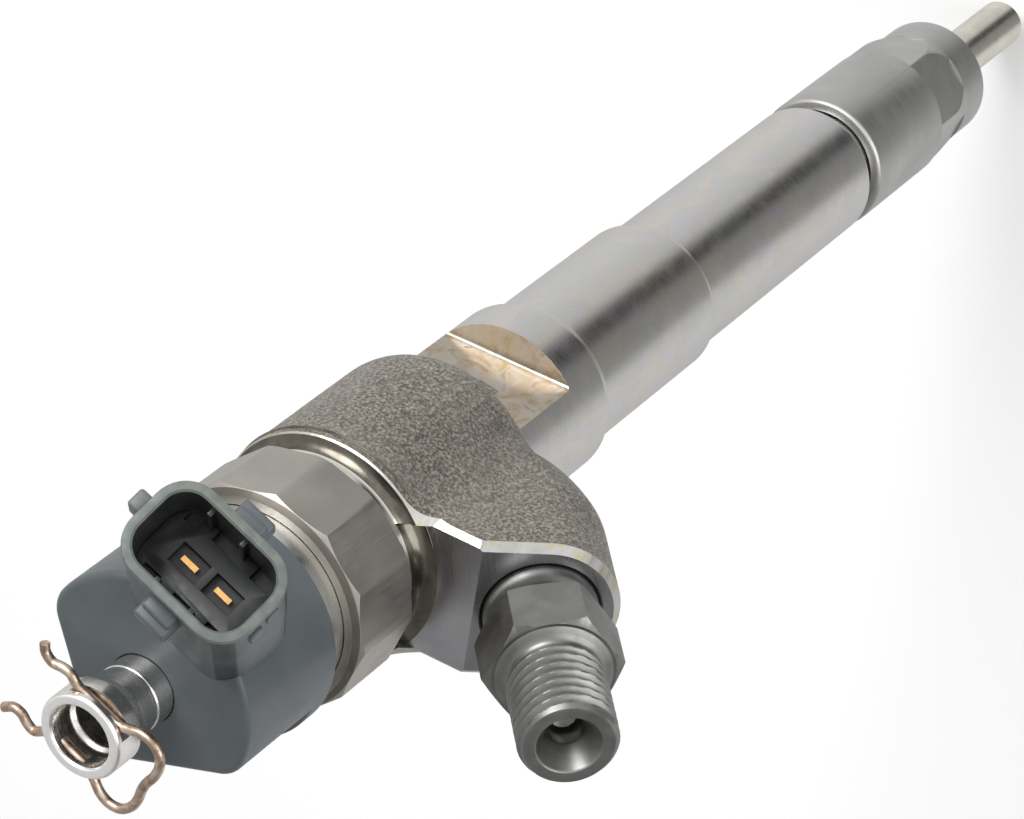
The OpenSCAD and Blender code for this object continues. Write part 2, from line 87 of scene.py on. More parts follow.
IDENTITY = Matrix.Identity(4)
ON_INLET = shift(0, 0, INLET_Z) @ turn_y(INLET_EL - math.pi / 2)
ON_PLUG = turn_z(PLUG_AZ) @ shift(PLUG_R, 0, PLUG_Z) @ turn_y(math.pi / 2 - PLUG_EL)
ON_CLIP = shift(0, 0, CLIP_Z) @ turn_z(CLIP_AZ)


# ---------------------------------------------------------------- meshes

def solid(name, verts, faces):
    """Mesh object in millimetres, not yet placed."""
    mesh = bpy.data.meshes.new(name)
    mesh.from_pydata([tuple(v) for v in verts], [], faces)
    mesh.validate()
    obj = bpy.data.objects.new(name, mesh)
    bpy.context.scene.collection.objects.link(obj)
    return obj


def bake(obj):
    """Applies obj's modifiers."""
    graph = bpy.context.evaluated_depsgraph_get()
    mesh = bpy.data.meshes.new_from_object(obj.evaluated_get(graph))
    obj.modifiers.clear()
    obj.data = mesh
    return obj


def combine(obj, tool, how):
    """Boolean of obj with tool, which is used up."""
    mod = obj.modifiers.new(how, "BOOLEAN")
    mod.operation = how
    mod.solver = "EXACT"
    mod.material_mode = "TRANSFER"
    mod.object = tool
    bake(obj)
    bpy.data.objects.remove(tool)
    return obj


def bevel(obj, width, angle=28, segments=2, slot=-1):
    """Rounds the edges sharper than angle. The rounding takes material slot number slot."""
    mod = obj.modifiers.new("bevel", "BEVEL")
    mod.width = width
    mod.segments = segments
    mod.limit_method = "ANGLE"
    mod.angle_limit = math.radians(angle)
    mod.use_clamp_overlap = True
    mod.material = slot
    return bake(obj)


def paint(obj, *materials):
    """Gives obj its material slots. Every face is in the first one."""
    obj.data.materials.clear()
    for m in materials:
        obj.data.materials.append(m)
    for p in obj.data.polygons:
        p.material_index = 0
    return obj


def place(obj, body="injector", matrix=IDENTITY, sharp=32):
    """Finishes a piece: metres, its frame, shading, and the body it rides on."""
    obj.data.transform(Matrix.Scale(MM, 4))
    obj.matrix_world = shift(*(matrix.translation * MM)) @ matrix.to_3x3().to_4x4()
    for p in obj.data.polygons:
        p.use_smooth = True
    obj.data.set_sharp_from_angle(angle=math.radians(sharp))
    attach(obj, body)
    return obj


def lathe(name, profile, steps=144, closed=False):
    """Revolves (radius, z) points round Z. A closed profile is a ring; an open one ends on the axis."""
    verts, rings = [], []
    for r, z in profile:
        if r < 1e-6:
            rings.append([len(verts)] * steps)
            verts.append((0, 0, z))
        else:
            rings.append(list(range(len(verts), len(verts) + steps)))
            verts += [(r * math.cos(a), r * math.sin(a), z)
                      for a in (2 * math.pi * k / steps for k in range(steps))]
    pairs = list(zip(rings, rings[1:])) + ([(rings[-1], rings[0])] if closed else [])
    faces = []
    for low, high in pairs:
        for k in range(steps):
            n = (k + 1) % steps
            face = [low[k], low[n], high[n], high[k]]
            face = [v for i, v in enumerate(face) if v != face[i - 1]]
            if len(face) > 2:
                faces.append(face)
    return solid(name, verts, faces)


def rounded(profile, radius, steps=3):
    """Rounds the corners of an open or closed profile; a point (r, z, own radius) has its own."""
    out = []
    for i, p in enumerate(profile):
        own = p[2] if len(p) > 2 else radius
        if i in (0, len(profile) - 1) or not own:
            out.append((p[0], p[1]))
            continue
        p0, p1, p2 = (Vector(profile[j][:2]) for j in (i - 1, i, i + 1))
        a, b = p0 - p1, p2 - p1
        cut_a = min(own, a.length * 0.45)
        cut_b = min(own, b.length * 0.45)
        start, end = p1 + a.normalized() * cut_a, p1 + b.normalized() * cut_b
        for k in range(steps + 1):
            t = k / steps
            q = start * (1 - t) ** 2 + p1 * (2 * t * (1 - t)) + end * t ** 2
            out.append((q.x, q.y))
    return out


def loft(name, rings, caps=(True, True)):
    """Skins rings of equal length."""
    n = len(rings[0])
    verts = [v for ring in rings for v in ring]
    faces = [[i * n + k, i * n + (k + 1) % n, (i + 1) * n + (k + 1) % n, (i + 1) * n + k]
             for i in range(len(rings) - 1) for k in range(n)]
    if caps[0]:
        faces.append(list(range(n))[::-1])
    if caps[1]:
        faces.append([(len(rings) - 1) * n + k for k in range(n)])
    return solid(name, verts, faces)


def prism(name, outline, z0, z1):
    return loft(name, [[(x, y, z) for x, y in outline] for z in (z0, z1)])


def polygon(sides, flats, turn):
    """Regular polygon with that size across flats, its first corner at turn degrees."""
    r = flats / 2 / math.cos(math.pi / sides)
    return [(r * math.cos(a), r * math.sin(a))
            for a in (math.radians(turn) + 2 * math.pi * k / sides for k in range(sides))]


def block(name, low, high):
    (x0, y0, z0), (x1, y1, z1) = low, high
    return prism(name, [(x0, y0), (x1, y0), (x1, y1), (x0, y1)], z0, z1)


def join(first, *others):
    """Merges other meshes into the first object, materials kept by slot number."""
    verts, faces, index = [], [], []
    for obj in (first, *others):
        base = len(verts)
        verts += [tuple(obj.matrix_world @ v.co) for v in obj.data.vertices]
        faces += [[base + v for v in p.vertices] for p in obj.data.polygons]
        index += [p.material_index for p in obj.data.polygons]
    materials = list(first.data.materials)
    mesh = bpy.data.meshes.new(first.name)
    mesh.from_pydata(verts, [], faces)
    for m in materials:
        mesh.materials.append(m)
    mesh.polygons.foreach_set("material_index", index)
    first.data = mesh
    first.matrix_world = IDENTITY
    for obj in others:
        bpy.data.objects.remove(obj)
    return first


def rounded_box_outline(w, h, r, steps=8):
    """Rounded rectangle as one ring; a smaller r only rounds its corners less."""
    out = []
    for i, (sx, sy) in enumerate(((1, 1), (-1, 1), (-1, -1), (1, -1))):
        for k in range(steps + 1):
            a = math.pi / 2 * (i + k / steps)
            out.append((sx * (w / 2 - r) + r * math.cos(a), sy * (h / 2 - r) + r * math.sin(a)))
    return out


# ---------------------------------------------------------------- materials

class Look:
    """A material and short ways to build its nodes. Sizes are in millimetres."""

    def __init__(self, name):
        self.mat = bpy.data.materials.new(name)
        self.mat.use_nodes = True
        self.tree = self.mat.node_tree
        self.shader = self.tree.nodes["Principled BSDF"]
        self.place = self.node("TexCoord").outputs["Object"]

    def node(self, kind, **values):
        n = self.tree.nodes.new("ShaderNode" + kind)
        for key, value in values.items():
            if key in n.inputs.keys():
                self.feed(n.inputs[key], value)
            else:
                setattr(n, key, value)
        return n

    def feed(self, socket, value):
        if isinstance(value, bpy.types.NodeSocket):
            self.tree.links.new(value, socket)
        elif isinstance(value, tuple) and len(value) == 3 and socket.type == "RGBA":
            socket.default_value = (*value, 1)
        else:
            socket.default_value = value

    def set(self, name, value):
        self.feed(self.shader.inputs[name], value)

    def math(self, how, a, b=0.0):
        n = self.node("Math", operation=how)
        self.feed(n.inputs[0], a)
        self.feed(n.inputs[1], b)
        return n.outputs[0]

    def stretched(self, x, y, z):
        n = self.node("Mapping", Vector=self.place)
        n.inputs["Scale"].default_value = (x, y, z)
        return n.outputs[0]

    def rings(self, drift=0.02):
        """Coordinates that are the same all round the axis: marks of a lathe."""
        s = self.node("SeparateXYZ", Vector=self.place)
        radius = self.math("SQRT", self.math("ADD", self.math("POWER", s.outputs[0], 2),
                                             self.math("POWER", s.outputs[1], 2)))
        c = self.node("CombineXYZ")
        self.feed(c.inputs[0], radius)
        self.feed(c.inputs[1], self.math("MULTIPLY", s.outputs[0], drift))
        self.feed(c.inputs[2], s.outputs[2])
        return c.outputs[0]

    def noise(self, size, detail=2.0, where=None, rough=0.5, twist=0.0):
        n = self.node("TexNoise", Vector=where or self.place, Scale=1 / (size * MM), Detail=detail,
                      Roughness=rough, Distortion=twist)
        return n.outputs["Fac"]

    def ramp(self, value, *stops):
        n = self.node("ValToRGB", Fac=value)
        while len(n.color_ramp.elements) < len(stops):
            n.color_ramp.elements.new(0.5)
        for e, (at, colour) in zip(n.color_ramp.elements, stops):
            e.position = at
            e.color = (*colour, 1) if isinstance(colour, tuple) else (colour, colour, colour, 1)
        return n.outputs["Color"]

    def mix(self, how_much, a, b, kind="MIX"):
        n = self.node("Mix", data_type="RGBA", blend_type=kind)
        for socket, value in zip([n.inputs[0], n.inputs[6], n.inputs[7]], [how_much, a, b]):
            self.feed(socket, value)
        return n.outputs[2]

    def span(self, value, low, high, to_low=0.0, to_high=1.0):
        n = self.node("MapRange", Value=value)
        for key, v in (("From Min", low), ("From Max", high), ("To Min", to_low), ("To Max", to_high)):
            n.inputs[key].default_value = v
        return n.outputs[0]

    def bump(self, height, strength, depth, under=None):
        n = self.node("Bump", Height=height, Strength=strength, Distance=depth * MM)
        if under is not None:
            self.feed(n.inputs["Normal"], under)
        self.set("Normal", n.outputs["Normal"])
        return n.outputs["Normal"]


def metal(name, dark, light, rough, patch=5.0, lines=0.12, line_depth=0.004, grain=0.2,
          grain_depth=0.0, turned=True, rough_range=0.12):
    """Machined metal: patchy colour, fine lines left by the tool, and a faint grain."""
    k = Look(name)
    tone = k.span(k.noise(patch, 4, twist=0.6), 0.3, 0.7)
    k.set("Base Color", k.mix(tone, dark, light))
    k.set("Metallic", 1.0)
    where = k.rings() if turned else k.stretched(1, 1, 0.04)
    marks = k.noise(lines, 3, where=where, rough=0.65)
    spots = k.noise(patch * 0.35, 3)
    half = rough_range / 2
    k.set("Roughness", k.math("ADD", k.span(marks, 0.3, 0.7, rough - half, rough + half),
                              k.span(spots, 0.35, 0.65, -0.03, 0.03)))
    under = k.bump(marks, 0.6, line_depth)
    if grain_depth:
        k.bump(k.noise(grain, 2), 0.7, grain_depth, under)
    return k.mat


def forging():
    """Blasted forging: dark warm grey with a coarse sparkling grain."""
    k = Look("forging")
    grit = k.noise(0.42, 3, rough=0.75)
    fine = k.noise(0.16, 2, rough=0.7)
    patch = k.noise(9, 3)
    base = k.mix(k.span(patch, 0.35, 0.65), (0.12, 0.11, 0.098), (0.19, 0.178, 0.16))
    k.set("Base Color", k.mix(k.span(grit, 0.42, 0.66), base, (0.5, 0.46, 0.4)))
    k.set("Metallic", 0.85)
    k.set("Roughness", k.span(fine, 0.3, 0.7, 0.36, 0.58))
    under = k.bump(grit, 1.0, 0.13)
    k.bump(fine, 0.8, 0.05, under)
    return k.mat


def ground_barrel():
    """Ground and hardened barrel with faint straw, pink and blue tempering tints."""
    k = Look("ground_barrel")
    swirl = k.noise(9, 4, where=k.stretched(1, 1, 0.55), twist=1.2)
    tint = k.ramp(swirl, (0.3, (0.56, 0.57, 0.62)), (0.42, (0.6, 0.575, 0.57)), (0.5, (0.56, 0.565, 0.55)),
                  (0.58, (0.62, 0.58, 0.53)), (0.72, (0.585, 0.57, 0.6)))
    k.set("Base Color", tint)
    k.set("Metallic", 1.0)
    where = k.rings()
    marks = k.noise(0.09, 4, where=where, rough=0.7)
    k.set("Roughness", k.math("ADD", k.span(marks, 0.3, 0.7, 0.2, 0.34),
                              k.span(k.noise(3, 3), 0.3, 0.7, -0.03, 0.05)))
    k.bump(marks, 0.5, 0.003)
    return k.mat


def clamp_faces():
    """Milled clamp faces, heated to a straw brown."""
    k = Look("clamp_faces")
    patch = k.noise(3.2, 4, twist=1.5)
    k.set("Base Color", k.ramp(patch, (0.3, (0.36, 0.29, 0.2)), (0.46, (0.46, 0.4, 0.32)),
                               (0.6, (0.47, 0.445, 0.42)), (0.74, (0.3, 0.25, 0.19))))
    k.set("Metallic", 1.0)
    lines = k.noise(0.15, 3, where=k.stretched(1, 1, 0.05))
    k.set("Roughness", k.span(lines, 0.3, 0.7, 0.26, 0.42))
    k.bump(lines, 0.5, 0.004)
    return k.mat


def milled_face():
    """Face-milled steel with wide arcs of a cutter."""
    k = Look("milled_face")
    n = k.node("Mapping", Vector=k.place)
    n.inputs["Location"].default_value = (0.05, 0.012, 0)
    s = k.node("SeparateXYZ", Vector=n.outputs[0])
    reach = k.math("SQRT", k.math("ADD", k.math("POWER", s.outputs[0], 2), k.math("POWER", s.outputs[1], 2)))
    c = k.node("CombineXYZ")
    k.feed(c.inputs[0], reach)
    arcs = k.noise(0.22, 3, where=c.outputs[0], rough=0.6)
    k.set("Base Color", k.mix(k.span(k.noise(5, 3), 0.3, 0.7), (0.33, 0.325, 0.345), (0.44, 0.43, 0.44)))
    k.set("Metallic", 1.0)
    k.set("Roughness", k.span(arcs, 0.3, 0.7, 0.24, 0.36))
    k.bump(arcs, 0.4, 0.002)
    return k.mat


def milled_edge():
    """Bright chamfers with a cutter's cross marks and traces of oil."""
    k = Look("milled_edge")
    ribs = k.noise(0.5, 2, where=k.stretched(1, 0.1, 0.1))
    oil = k.span(k.noise(1.3, 3), 0.5, 0.6)
    k.set("Base Color", k.mix(k.math("MULTIPLY", oil, 0.7), (0.5, 0.5, 0.49), (0.5, 0.46, 0.28)))
    k.set("Metallic", 1.0)
    k.set("Roughness", k.span(ribs, 0.3, 0.7, 0.28, 0.5))
    k.bump(ribs, 0.8, 0.03)
    return k.mat


def cap_plastic():
    """Blue-grey glass-filled nylon, satin, with faint scuffs."""
    k = Look("cap_plastic")
    k.set("Base Color", k.mix(k.span(k.noise(7, 4), 0.3, 0.7), (0.062, 0.073, 0.08), (0.083, 0.095, 0.102)))
    scuff = k.noise(0.5, 4, where=k.stretched(1, 1, 0.25), rough=0.7)
    k.set("Roughness", k.math("ADD", k.span(k.noise(4, 3), 0.3, 0.7, 0.34, 0.42),
                              k.span(scuff, 0.5, 0.8, 0, 0.12)))
    k.set("Specular IOR Level", 0.5)
    under = k.bump(k.noise(0.11, 2), 0.5, 0.008)
    k.bump(k.noise(1.6, 2), 0.4, 0.02, under)
    return k.mat


def socket_painted_shade():
    """The same plastic deep inside the plug, painted almost black: painted shade of the recess."""
    k = Look("socket_painted_shade")
    k.set("Base Color", k.mix(k.span(k.noise(3, 3), 0.3, 0.7), (0.012, 0.013, 0.014), (0.024, 0.026, 0.027)))
    k.set("Roughness", k.span(k.noise(1.2, 3), 0.3, 0.7, 0.3, 0.42))
    k.bump(k.noise(0.15, 2), 0.5, 0.01)
    return k.mat


def rim_plastic():
    """Moulded edges, rubbed a little lighter."""
    k = Look("rim_plastic")
    k.set("Base Color", k.mix(k.span(k.noise(1.5, 4), 0.35, 0.65), (0.085, 0.102, 0.1), (0.13, 0.145, 0.125)))
    k.set("Roughness", k.span(k.noise(0.8, 3), 0.3, 0.7, 0.36, 0.5))
    k.bump(k.noise(0.12, 2), 0.5, 0.01)
    return k.mat


def wire():
    """Bronze-coated spring wire with a drawn finish."""
    k = Look("clip_wire")
    k.set("Base Color", k.ramp(k.noise(1.4, 4, twist=0.8), (0.35, (0.38, 0.27, 0.2)),
                               (0.52, (0.54, 0.42, 0.33)), (0.68, (0.7, 0.6, 0.5))))
    k.set("Metallic", 1.0)
    k.set("Roughness", k.span(k.noise(0.3, 3), 0.3, 0.7, 0.26, 0.42))
    k.bump(k.noise(0.2, 3), 0.5, 0.01)
    return k.mat


def rubber():
    k = Look("rubber")
    tone = k.span(k.noise(0.8, 3), 0.3, 0.7)
    k.set("Base Color", k.mix(tone, (0.012, 0.012, 0.012), (0.022, 0.022, 0.022)))
    k.set("Roughness", k.span(k.noise(0.5, 3), 0.3, 0.7, 0.5, 0.65))
    k.bump(k.noise(0.1, 2), 0.5, 0.01)
    return k.mat


LOOKS = {
    "forging": forging(),
    "barrel": ground_barrel(),
    "clamp": clamp_faces(),
    "milled": milled_face(),
    "edge": milled_edge(),
    "cap": cap_plastic(),
    "socket": socket_painted_shade(),
    "rim": rim_plastic(),
    "wire": wire(),
    "rubber": rubber(),
    "neck": metal("bright_neck", (0.7, 0.67, 0.6), (0.8, 0.77, 0.7), 0.16, lines=0.2),
    "fillet": metal("neck_fillet", (0.1, 0.092, 0.075), (0.2, 0.182, 0.15), 0.22, patch=3, lines=0.2),
    "union": metal("union_nut", (0.37, 0.355, 0.32), (0.44, 0.42, 0.385), 0.46, patch=8, lines=0.2,
                   line_depth=0.006, turned=False),
    "union_ring": metal("union_ring", (0.13, 0.118, 0.1), (0.2, 0.182, 0.158), 0.45),
    "worn": metal("worn_edge", (0.72, 0.7, 0.66), (0.85, 0.83, 0.8), 0.3, patch=1.2, grain=0.3,
                  grain_depth=0.02),
    "nut": metal("nozzle_nut", (0.42, 0.42, 0.41), (0.5, 0.495, 0.48), 0.45, patch=9, lines=0.3),
    "nozzle": metal("nozzle", (0.62, 0.6, 0.53), (0.74, 0.71, 0.63), 0.26, patch=2.5, lines=0.1),
    "fitting": metal("inlet_fitting", (0.2, 0.2, 0.195), (0.28, 0.28, 0.265), 0.4, patch=4, lines=0.18,
                     grain=0.12, grain_depth=0.01),
    "port": metal("return_port", (0.7, 0.69, 0.66), (0.82, 0.8, 0.77), 0.25, patch=3, lines=0.12),
    # Near-white look for the port ring's top face: a painted highlight, not the steel's own colour.
    "port_top_highlight": metal("port_top_highlight", (0.92, 0.91, 0.9), (0.97, 0.965, 0.96), 0.5, patch=2, lines=0.1),
    "fitting_edge": metal("fitting_edge", (0.36, 0.355, 0.34), (0.46, 0.45, 0.43), 0.35, patch=1.5),
    "sleeve": metal("sleeve", (0.7, 0.69, 0.66), (0.82, 0.81, 0.78), 0.3, patch=4, lines=0.1),
    "steel": metal("inner_steel", (0.5, 0.5, 0.49), (0.6, 0.6, 0.58), 0.28),
    "spring": metal("spring_steel", (0.24, 0.24, 0.25), (0.32, 0.31, 0.3), 0.35),
    "core": metal("core_iron", (0.14, 0.14, 0.14), (0.2, 0.2, 0.19), 0.55, grain=0.15, grain_depth=0.02),
    "copper": metal("terminal_copper", (0.75, 0.4, 0.14), (0.9, 0.56, 0.24), 0.25, patch=1.5),
    "coil": metal("coil_copper", (0.55, 0.25, 0.1), (0.68, 0.34, 0.15), 0.35),
}


HEAD_LOOKS = (LOOKS["forging"], LOOKS["milled"], LOOKS["edge"])
UNION_LOOKS = (LOOKS["union"], LOOKS["worn"], LOOKS["union_ring"])


# ---------------------------------------------------------------- body

def barrel():
    """Turned lower body with its two clamp flats."""
    outer = rounded([
        (8.2, 24.1), (8.2, 34.5), (8.05, 35), (8.05, 36.4, 0.1), (8.25, 36.5, 0.1), (8.25, 36.9, 0.1),
        (8.1, 37, 0.1), (8.1, 37.7, 0.3), (8.5, 38.1, 0.2), (8.75, 38.15, 0.2), (9.4, 38.4, 0.2),
        (9.65, 38.7, 0.3), (9.65, 83.8, 0.5), (10.55, 84.5, 0.6), (10.55, 112.6, 0.3), (10.7, 112.9, 0.3),
        (11.7, 114.2, 0.4), (11.85, 114.6, 0.3), (11.85, 139)], 0.3)
    inner = [(4.7, 139), (4.7, 127), (2.35, 126.5), (2.35, 58.6), (4.2, 58.5), (4.2, 24.1)]
    obj = paint(lathe("barrel", outer + inner, 192, closed=True), LOOKS["barrel"], LOOKS["clamp"])
    for side in (-1, 1):
        fillet = [(CLAMP_HALF + 0.65 * (1 - math.cos(a)), CLAMP_Z + 0.65 * (1 - math.sin(a)))
                  for a in (math.pi / 2 * (1 - i / 5) for i in range(6))]
        section = [(16, HEAD_Z + 3), (CLAMP_HALF, HEAD_Z + 3)] + fillet[::-1] + [(16, CLAMP_Z)]
        rings = [[(x, side * y, z) for y, z in section] for x in (-side * 20, side * 20)]
        tool = loft("clamp_cut", rings)
        paint(tool, LOOKS["barrel"], LOOKS["clamp"])
        for p in tool.data.polygons:
            p.material_index = 1
        combine(obj, tool, "DIFFERENCE")
    return place(obj, sharp=25)


def boss_reach(cos_f, sin_f, z):
    """Distance from the main axis to the side of the inlet boss, along a horizontal ray."""
    up = (z - INLET_Z) * math.cos(INLET_EL)
    lean = math.sin(INLET_EL) * cos_f
    with np.errstate(all="ignore"):
        side = BOSS_R / np.maximum(sin_f, 1e-4)
        quad = lean ** 2 + sin_f ** 2
        disc = up ** 2 * lean ** 2 - quad * (up ** 2 - BOSS_R ** 2)
        end = np.where(disc > 0, (up * lean + np.sqrt(np.maximum(disc, 0))) / quad, 0)
    reach = np.where(up - side * lean >= 0, side, end)
    reach = np.minimum(np.where(cos_f > 0, reach, BOSS_R), 60)
    along = reach * cos_f * math.cos(INLET_EL) + (z - INLET_Z) * math.sin(INLET_EL)
    t = np.clip((along - BLEND_FROM) / BLEND_LENGTH, 0, 1)
    return BOSS_ROOT_R + (np.maximum(reach, BOSS_ROOT_R) - BOSS_ROOT_R) * np.sqrt(1 - (1 - t) ** 2)


def head_reach(z):
    """Radius of the head's turned outline: a core hidden in the barrel, then the rounded lower edge."""
    drop = np.clip(HEAD_Z + HEAD_CORNER - z, 0, HEAD_CORNER)
    edge = np.sqrt(np.maximum(HEAD_CORNER ** 2 - drop ** 2, 0))
    return np.where(z < HEAD_Z, CORE_R, HEAD_R - HEAD_CORNER + edge)


def forging_shape(steps=320):
    """Rough outside of the forged head with its inlet boss, blended into each other."""
    angle = np.linspace(0, 2 * math.pi, steps, endpoint=False)
    levels = np.unique(np.concatenate([np.arange(128, HEAD_Z, 0.25), [HEAD_Z - 0.001],
                                       HEAD_Z + HEAD_CORNER * (1 - np.cos(np.linspace(0, math.pi / 2, 16))),
                                       np.arange(HEAD_Z + HEAD_CORNER + 0.25, 163, 0.4)]))
    z, a = np.meshgrid(levels, angle, indexing="ij")
    cos_f, sin_f = -np.cos(a), np.abs(np.sin(a))
    head, boss = head_reach(z), boss_reach(cos_f, sin_f, z)
    soft = np.clip(8 - (z - 150) * 0.5, 3, 8)
    h = np.clip(1 - np.abs(head - boss) / soft, 0, 1) * (z > HEAD_Z)
    r = np.maximum(head, boss) + h * h * soft / 4 * np.clip((z - HEAD_Z) / HEAD_CORNER, 0, 1)
    rings = np.stack([r * np.cos(a), r * np.sin(a), z], axis=-1)
    return loft("forged_head", [list(map(tuple, ring)) for ring in rings])


def machined_limits():
    """Solid that the milled top face, the boss face and their chamfers leave."""
    roof = lathe("limits", [(0, 100), (70, 100), (70, RING_TOP - 55.2), (14.8, RING_TOP), (0, RING_TOP)], 192)
    combine(roof, block("strip", (-90, -STRIP_HALF, BOSS_TOP), (0, STRIP_HALF, 180)), "DIFFERENCE")
    top, half = BOSS_TOP - 0.003, STRIP_HALF
    wide = 60
    foot = top - wide + half
    section = [(-wide, 101), (wide, 101), (wide, foot), (half, top), (-half, top), (-wide, foot)]
    ridge = loft("ridge", [[(x, y, z) for y, z in section] for x in (-80, 0.5)])
    combine(roof, ridge, "UNION")

    def outline(u, s):
        arc = [(-u * math.sin(a), u * math.cos(a), s) for a in np.linspace(0, math.pi, 49)]
        return [(150, u, s)] + arc + [(150, -u, s)]
    face = loft("face", [outline(8.65, BOSS_S), outline(118.65, BOSS_S - 110)][::-1])
    face.data.transform(ON_INLET)
    paint(roof, *HEAD_LOOKS)
    combine(roof, face, "INTERSECT")
    mark_machined(roof)
    return roof


def mark_machined(obj):
    """Puts the milled faces and their chamfers in their material slots."""
    boss_axis = ON_INLET.to_3x3() @ Vector((0, 0, 1))
    for p in obj.data.polygons:
        flat = p.normal.z > 0.999 or p.normal.dot(boss_axis) > 0.999
        p.material_index = 1 if flat else 2


def forged_head():
    obj = paint(forging_shape(), *HEAD_LOOKS)
    combine(obj, machined_limits(), "INTERSECT")
    bore = lathe("bore", [(0, 100), (4.7, 100), (4.7, 143), (9.1, 143), (9.1, 170), (0, 170)], 64)
    combine(obj, paint(bore, *HEAD_LOOKS), "DIFFERENCE")
    seat = lathe("seat", [(0, 38), (7.15, 38), (7.15, BOSS_S - 0.25), (7.5, BOSS_S + 0.1), (7.5, 50),
                          (0, 50)], 96)
    paint(seat, *HEAD_LOOKS)
    seat.data.transform(ON_INLET)
    for p in seat.data.polygons:
        p.material_index = 1
    combine(obj, seat, "DIFFERENCE")
    return place(obj, sharp=24)


def neck_ring(name, outer):
    inner = [(10.9, 168.45), (10.9, 167.5), (9.1, 167.5), (9.1, outer[0][1])]
    obj = paint(lathe(name, outer + inner, 160, closed=True), LOOKS["fillet"], LOOKS["neck"])
    for p in obj.data.polygons:
        p.material_index = 1 if p.center.z > 162.4 else 0
    return obj


def body_neck():
    """Spigot that carries the solenoid; its polished fillet runs lower where the boss is milled."""
    flare = [(14.9, 160.75), (14.75, 160.95), (14.2, 161.15), (13.7, 161.55), (13.3, 162.1), (13.08, 162.8)]
    spigot = [(13, 163.6), (13.4, 164), (13.4, 168.2), (13.15, 168.45)]
    high = neck_ring("body_neck", flare + spigot)
    tool = paint(block("strip", (-20, -8.9, 150), (0, 8.9, 163.5)), LOOKS["fillet"], LOOKS["neck"])
    combine(high, tool, "DIFFERENCE")
    place(high)
    low = neck_ring("neck_fillet", [(15.2, 159.5), (15.05, 159.74), (14.3, 159.95), (13.7, 160.4),
                                    (13.25, 161.1), (13.02, 162), (12.98, 163.6), (12.98, 168.4)])
    return place(low)


# ---------------------------------------------------------------- nuts and inlet

def union_nut():
    """Twelve-sided nut with a turned chamfer, and a dark ring round its mouth."""
    obj = paint(prism("union_nut", polygon(12, 29, -1.9), UNION_Z, UNION_TOP), *UNION_LOOKS)
    tool = lathe("tool", [(0, UNION_Z), (14.75, UNION_Z), (UNION_R, UNION_Z + 0.35),
                          (UNION_R, UNION_TOP - 1.1), (14.45, UNION_TOP - 0.5), (13.7, UNION_TOP),
                          (0, UNION_TOP)], 192)
    paint(tool, *UNION_LOOKS)
    for p in tool.data.polygons:
        p.material_index = 2 if p.center.z > UNION_TOP - 0.4 else 0
    combine(obj, tool, "INTERSECT")
    bore = lathe("bore", [(0, 160), (13.5, 160), (13.5, FLANGE_Z), (12.6, FLANGE_Z), (12.6, 180),
                          (0, 180)], 128)
    combine(obj, paint(bore, *UNION_LOOKS), "DIFFERENCE")
    bevel(obj, 0.07, angle=36, segments=2, slot=1)
    return place(obj)


def nozzle_nut():
    outer = rounded([(8.25, 35.7), (9.35, 35.7, 0.2), (9.75, 35.3, 0.3), (9.75, 10.4, 1.5), (8.8, 6.6, 0.6),
                     (8.8, 0.6, 0.4), (8.2, 0, 0.2), (3.6, 0, 0.1)], 0.2)
    inner = [(3.6, 5), (7.2, 5), (7.2, 24.5), (8.25, 24.5)]
    obj = paint(lathe("nozzle_nut", outer + inner, 180, closed=True), LOOKS["nut"], LOOKS["worn"])
    tools = []
    for k in range(6):
        tool = block("flat", (8.5, -4.9, 6.6), (14, 4.9, 16.3))
        tool.data.transform(turn_z(math.radians(-16.4 + 60 * k)))
        tools.append(tool)
    tool = paint(join(*tools), LOOKS["nut"], LOOKS["worn"])
    combine(obj, tool, "DIFFERENCE")
    bevel(obj, 0.1, angle=20)
    return place(obj, sharp=28)


HEX_S = BOSS_S + 3.8
HEX_END = HEX_S + 7.8
THREAD_S = HEX_END + 1.4
MOUTH_S = THREAD_S + 11.6


def inlet_hex():
    obj = paint(prism("inlet_hex", polygon(6, 14.6, 10.7), HEX_S, HEX_END),
                LOOKS["fitting"], LOOKS["fitting_edge"])
    tool = paint(lathe("tool", [(0, HEX_S), (7.5, HEX_S), (8.6, HEX_S + 0.7), (8.6, HEX_END - 0.8),
                                (7.3, HEX_END), (0, HEX_END)], 128), LOOKS["fitting"], LOOKS["fitting_edge"])
    combine(obj, tool, "INTERSECT")
    bore = lathe("bore", [(0, 40), (4, 40), (4, 60), (0, 60)], 32)
    combine(obj, paint(bore, LOOKS["fitting"]), "DIFFERENCE")
    bevel(obj, 0.13, angle=20, slot=1)
    return place(obj, matrix=ON_INLET)


def inlet_stem():
    """Shank below the hexagon and the polished relief above it."""
    outer = rounded([
        (5.98, 31), (5.98, 40.4), (6.98, 40.6), (6.98, 42.6, 0.3), (6.6, 43.3, 0.4), (6.6, 44.6, 0.6),
        (7.3, 46.2, 0.2), (7.3, HEX_END - 0.3), (6.9, HEX_END + 0.05, 0.4), (5.75, HEX_END + 0.5, 0.5),
        (5.3, HEX_END + 1, 0.3), (5.2, THREAD_S + 0.6, 0.3), (5, THREAD_S + 0.8)], 0.2)
    inner = [(2.15, THREAD_S + 0.8), (2.15, 36), (1.2, 36), (1.2, 31)]
    obj = paint(lathe("inlet_stem", outer + inner, 128, closed=True), LOOKS["fitting"])
    return place(obj, matrix=ON_INLET)


